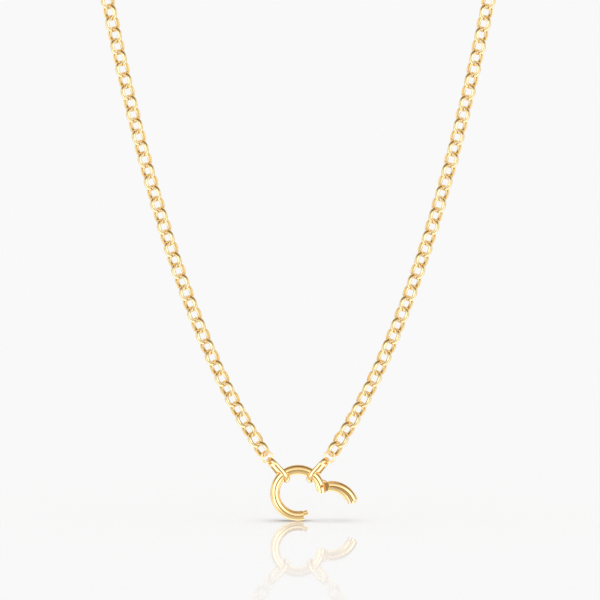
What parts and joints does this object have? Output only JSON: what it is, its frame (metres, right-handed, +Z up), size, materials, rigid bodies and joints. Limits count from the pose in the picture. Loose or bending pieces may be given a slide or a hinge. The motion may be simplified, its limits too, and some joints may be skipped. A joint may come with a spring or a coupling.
{
  "type": "chain necklace",
  "caption": "Belcher-link chain necklace with a round hinged clasp at the front, hung from two jump rings and oval connectors, gate open.",
  "frame": {"origin": "centre of the link that lies on the nape of the neck, at the top of the back of the necklace", "axes": "+Z up, +X to the right as the necklace is seen from the front, +Y from the front of the neck to the nape"},
  "size_m": [0.0952, 0.07, 0.1585],
  "materials": {
    "gold_chain": "polished",
    "gold_rings": "polished",
    "gold_clasp": "polished"
  },
  "bodies": {
    "neck_chain": {"nape_link": "gold_chain", "neck_chain_left_1": "gold_chain", "neck_chain_left_2": "gold_chain", "neck_chain_left_3": "gold_chain", "neck_chain_left_4": "gold_chain", "neck_chain_left_5": "gold_chain", "neck_chain_left_6": "gold_chain", "neck_chain_right_1": "gold_chain", "neck_chain_right_2": "gold_chain", "neck_chain_right_3": "gold_chain", "neck_chain_right_4": "gold_chain", "neck_chain_right_5": "gold_chain", "neck_chain_right_6": "gold_chain"},
    "chain_left_1": {"chain_left_1": "gold_chain"},
    "chain_left_2": {"chain_left_2": "gold_chain"},
    "chain_left_3": {"chain_left_3": "gold_chain"},
    "chain_left_4": {"chain_left_4": "gold_chain"},
    "chain_left_5": {"chain_left_5": "gold_chain"},
    "chain_left_6": {"chain_left_6": "gold_chain"},
    "chain_left_7": {"chain_left_7": "gold_chain"},
    "chain_left_8": {"chain_left_8": "gold_chain"},
    "chain_left_9": {"chain_left_9": "gold_chain"},
    "chain_left_10": {"chain_left_10": "gold_chain"},
    "chain_left_11": {"chain_left_11": "gold_chain"},
    "jump_ring_left": {"jump_ring_left": "gold_rings"},
    "oval_connector_left": {"oval_connector_left": "gold_rings"},
    "chain_right_1": {"chain_right_1": "gold_chain"},
    "chain_right_2": {"chain_right_2": "gold_chain"},
    "chain_right_3": {"chain_right_3": "gold_chain"},
    "chain_right_4": {"chain_right_4": "gold_chain"},
    "chain_right_5": {"chain_right_5": "gold_chain"},
    "chain_right_6": {"chain_right_6": "gold_chain"},
    "chain_right_7": {"chain_right_7": "gold_chain"},
    "chain_right_8": {"chain_right_8": "gold_chain"},
    "chain_right_9": {"chain_right_9": "gold_chain"},
    "chain_right_10": {"chain_right_10": "gold_chain"},
    "chain_right_11": {"chain_right_11": "gold_chain"},
    "jump_ring_right": {"jump_ring_right": "gold_rings"},
    "oval_connector_right": {"oval_connector_right": "gold_rings"},
    "clasp": {"clasp_body": "gold_clasp", "hinge_pin": "gold_clasp"},
    "gate": {"clasp_gate": "gold_clasp"}
  },
  "joints": [
    {"name": "left_bend_1", "type": "hinge", "parent": "neck_chain", "child": "chain_left_1", "pos_m": [-0.04175, -0.06645, -0.03969], "axis": [1, 0, 0], "range_deg": [-12, 12]},
    {"name": "left_bend_2", "type": "hinge", "parent": "chain_left_1", "child": "chain_left_2", "pos_m": [-0.03978, -0.06645, -0.04941], "axis": [1, 0, 0], "range_deg": [-12, 12]},
    {"name": "left_bend_3", "type": "hinge", "parent": "chain_left_2", "child": "chain_left_3", "pos_m": [-0.03769, -0.06645, -0.05911], "axis": [1, 0, 0], "range_deg": [-12, 12]},
    {"name": "left_bend_4", "type": "hinge", "parent": "chain_left_3", "child": "chain_left_4", "pos_m": [-0.03544, -0.06645, -0.06877], "axis": [1, 0, 0], "range_deg": [-12, 12]},
    {"name": "left_bend_5", "type": "hinge", "parent": "chain_left_4", "child": "chain_left_5", "pos_m": [-0.03301, -0.06645, -0.07839], "axis": [1, 0, 0], "range_deg": [-12, 12]},
    {"name": "left_bend_6", "type": "hinge", "parent": "chain_left_5", "child": "chain_left_6", "pos_m": [-0.03037, -0.06645, -0.08795], "axis": [1, 0, 0], "range_deg": [-12, 12]},
    {"name": "left_bend_7", "type": "hinge", "parent": "chain_left_6", "child": "chain_left_7", "pos_m": [-0.02749, -0.06645, -0.09744], "axis": [1, 0, 0], "range_deg": [-12, 12]},
    {"name": "left_bend_8", "type": "hinge", "parent": "chain_left_7", "child": "chain_left_8", "pos_m": [-0.02432, -0.06645, -0.10684], "axis": [1, 0, 0], "range_deg": [-12, 12]},
    {"name": "left_bend_9", "type": "hinge", "parent": "chain_left_8", "child": "chain_left_9", "pos_m": [-0.02079, -0.06645, -0.11611], "axis": [1, 0, 0], "range_deg": [-12, 12]},
    {"name": "left_bend_10", "type": "hinge", "parent": "chain_left_9", "child": "chain_left_10", "pos_m": [-0.01683, -0.06645, -0.1252], "axis": [1, 0, 0], "range_deg": [-12, 12]},
    {"name": "left_bend_11", "type": "hinge", "parent": "chain_left_10", "child": "chain_left_11", "pos_m": [-0.01233, -0.06645, -0.13404], "axis": [1, 0, 0], "range_deg": [-12, 12]},
    {"name": "jump_ring_left_turn", "type": "hinge", "parent": "chain_left_11", "child": "jump_ring_left", "pos_m": [-0.00725, -0.06645, -0.14232], "axis": [1, 0, 0], "range_deg": [-12, 12]},
    {"name": "oval_left_turn", "type": "hinge", "parent": "jump_ring_left", "child": "oval_connector_left", "pos_m": [-0.00607, -0.06645, -0.14387], "axis": [1, 0, 0], "range_deg": [-15, 15]},
    {"name": "right_bend_1", "type": "hinge", "parent": "neck_chain", "child": "chain_right_1", "pos_m": [0.04175, -0.06645, -0.03969], "axis": [1, 0, 0], "range_deg": [-12, 12]},
    {"name": "right_bend_2", "type": "hinge", "parent": "chain_right_1", "child": "chain_right_2", "pos_m": [0.03978, -0.06645, -0.04941], "axis": [1, 0, 0], "range_deg": [-12, 12]},
    {"name": "right_bend_3", "type": "hinge", "parent": "chain_right_2", "child": "chain_right_3", "pos_m": [0.03769, -0.06645, -0.05911], "axis": [1, 0, 0], "range_deg": [-12, 12]},
    {"name": "right_bend_4", "type": "hinge", "parent": "chain_right_3", "child": "chain_right_4", "pos_m": [0.03544, -0.06645, -0.06877], "axis": [1, 0, 0], "range_deg": [-12, 12]},
    {"name": "right_bend_5", "type": "hinge", "parent": "chain_right_4", "child": "chain_right_5", "pos_m": [0.03301, -0.06645, -0.07839], "axis": [1, 0, 0], "range_deg": [-12, 12]},
    {"name": "right_bend_6", "type": "hinge", "parent": "chain_right_5", "child": "chain_right_6", "pos_m": [0.03037, -0.06645, -0.08795], "axis": [1, 0, 0], "range_deg": [-12, 12]},
    {"name": "right_bend_7", "type": "hinge", "parent": "chain_right_6", "child": "chain_right_7", "pos_m": [0.02749, -0.06645, -0.09744], "axis": [1, 0, 0], "range_deg": [-12, 12]},
    {"name": "right_bend_8", "type": "hinge", "parent": "chain_right_7", "child": "chain_right_8", "pos_m": [0.02432, -0.06645, -0.10684], "axis": [1, 0, 0], "range_deg": [-12, 12]},
    {"name": "right_bend_9", "type": "hinge", "parent": "chain_right_8", "child": "chain_right_9", "pos_m": [0.02079, -0.06645, -0.11611], "axis": [1, 0, 0], "range_deg": [-12, 12]},
    {"name": "right_bend_10", "type": "hinge", "parent": "chain_right_9", "child": "chain_right_10", "pos_m": [0.01683, -0.06645, -0.1252], "axis": [1, 0, 0], "range_deg": [-12, 12]},
    {"name": "right_bend_11", "type": "hinge", "parent": "chain_right_10", "child": "chain_right_11", "pos_m": [0.01233, -0.06645, -0.13404], "axis": [1, 0, 0], "range_deg": [-12, 12]},
    {"name": "jump_ring_right_turn", "type": "hinge", "parent": "chain_right_11", "child": "jump_ring_right", "pos_m": [0.00725, -0.06645, -0.14232], "axis": [1, 0, 0], "range_deg": [-12, 12]},
    {"name": "oval_right_turn", "type": "hinge", "parent": "jump_ring_right", "child": "oval_connector_right", "pos_m": [0.00607, -0.06645, -0.14387], "axis": [1, 0, 0], "range_deg": [-15, 15]},
    {"name": "clasp_swing", "type": "hinge", "parent": "oval_connector_left", "child": "clasp", "pos_m": [0, -0.06645, -0.14712], "axis": [1, 0, 0], "range_deg": [-14, 14]},
    {"name": "gate_hinge", "type": "hinge", "parent": "clasp", "child": "gate", "pos_m": [0.00509, -0.06645, -0.14939], "axis": [0, -1, 0], "range_deg": [-92, 0]}
  ],
  "couplings": [
    {"joint": "right_bend_1", "follows": "left_bend_1", "ratio": 1},
    {"joint": "right_bend_2", "follows": "left_bend_2", "ratio": 1},
    {"joint": "right_bend_3", "follows": "left_bend_3", "ratio": 1},
    {"joint": "right_bend_4", "follows": "left_bend_4", "ratio": 1},
    {"joint": "right_bend_5", "follows": "left_bend_5", "ratio": 1},
    {"joint": "right_bend_6", "follows": "left_bend_6", "ratio": 1},
    {"joint": "right_bend_7", "follows": "left_bend_7", "ratio": 1},
    {"joint": "right_bend_8", "follows": "left_bend_8", "ratio": 1},
    {"joint": "right_bend_9", "follows": "left_bend_9", "ratio": 1},
    {"joint": "right_bend_10", "follows": "left_bend_10", "ratio": 1},
    {"joint": "right_bend_11", "follows": "left_bend_11", "ratio": 1},
    {"joint": "jump_ring_right_turn", "follows": "jump_ring_left_turn", "ratio": 1},
    {"joint": "oval_right_turn", "follows": "oval_left_turn", "ratio": 1}
  ]
}
